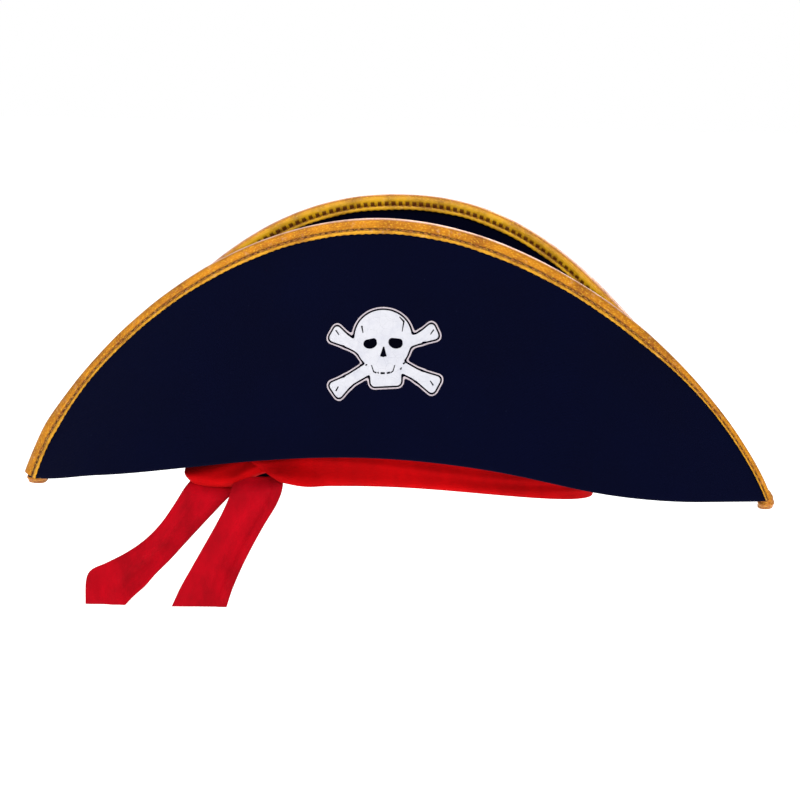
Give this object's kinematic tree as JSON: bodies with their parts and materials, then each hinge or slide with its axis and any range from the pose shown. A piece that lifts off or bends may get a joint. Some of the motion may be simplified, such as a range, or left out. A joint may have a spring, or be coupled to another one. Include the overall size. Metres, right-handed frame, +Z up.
{
  "type": "pirate hat",
  "caption": "Soft costume hat with turned-up front and back brim leaves, bound edges, an oval crown, a knotted sash with loose ends and a skull badge.",
  "frame": {"origin": "centre of the head opening, level with the lower edge of the sash at the front and back", "axes": "+X from the knot's side to the other tip along the hat's long side, +Y from the front leaf to the back leaf, +Z up out of the head"},
  "size_m": [0.4652, 0.14, 0.2449],
  "materials": {
    "navy_cloth": "fine plain-woven felt-backed cloth, matt",
    "stiffener": "non-woven interlining",
    "gold_binding": "metallic lame, glossy",
    "red_velvet": "short-pile velvet",
    "badge_film": "transfer film",
    "badge_print": "printed film",
    "lining": "thin woven lining",
    "sweatband": "ribbed ribbon"
  },
  "bodies": {
    "root": {"crown_front_panel": "navy_cloth", "crown_back_panel": "navy_cloth", "crown_lining": "lining", "sweatband": "sweatband", "brim_base_outer_cloth": "navy_cloth", "brim_base_interlining": "stiffener", "brim_base_inner_cloth": "navy_cloth", "sash_band": "red_velvet", "sash_knot": "red_velvet", "trim_tip_left": "gold_binding", "trim_tip_right": "gold_binding"},
    "brim_front": {"brim_front_outer_cloth": "navy_cloth", "brim_front_interlining": "stiffener", "brim_front_inner_cloth": "navy_cloth", "trim_front": "gold_binding", "badge_film": "badge_film", "badge_print": "badge_print"},
    "brim_back": {"brim_back_outer_cloth": "navy_cloth", "brim_back_interlining": "stiffener", "brim_back_inner_cloth": "navy_cloth", "trim_back": "gold_binding"},
    "tail_left_neck": {"tail_left_neck": "red_velvet"},
    "tail_left": {"tail_left": "red_velvet"},
    "tail_right_neck": {"tail_right_neck": "red_velvet"},
    "tail_right": {"tail_right": "red_velvet"}
  },
  "joints": [
    {"name": "front_leaf_flex", "type": "hinge", "parent": "root", "child": "brim_front", "pos_m": [0, 0, -0.01], "axis": [1, 0, 0], "range_deg": [0, 10], "stiffness_Nm_per_rad": 0.3, "springref_deg": -8.59},
    {"name": "back_leaf_flex", "type": "hinge", "parent": "root", "child": "brim_back", "pos_m": [0, 0, -0.01], "axis": [-1, 0, 0], "range_deg": [0, 10], "stiffness_Nm_per_rad": 0.3, "springref_deg": -8.59},
    {"name": "tail_left_splay", "type": "hinge", "parent": "root", "child": "tail_left_neck", "pos_m": [-0.1, -0.05, -0.0085], "axis": [0, -1, 0], "range_deg": [-15, 60]},
    {"name": "tail_left_swing", "type": "hinge", "parent": "tail_left_neck", "child": "tail_left", "pos_m": [-0.1119, -0.05, -0.0194], "axis": [-0.7821, 0, 0.6231], "range_deg": [-20, 50]},
    {"name": "tail_right_splay", "type": "hinge", "parent": "root", "child": "tail_right_neck", "pos_m": [-0.072, -0.0545, -0.0085], "axis": [0, -1, 0], "range_deg": [-15, 45]},
    {"name": "tail_right_swing", "type": "hinge", "parent": "tail_right_neck", "child": "tail_right", "pos_m": [-0.07807, -0.0545, -0.01905], "axis": [-0.8779, 0, 0.4789], "range_deg": [-20, 50]}
  ]
}
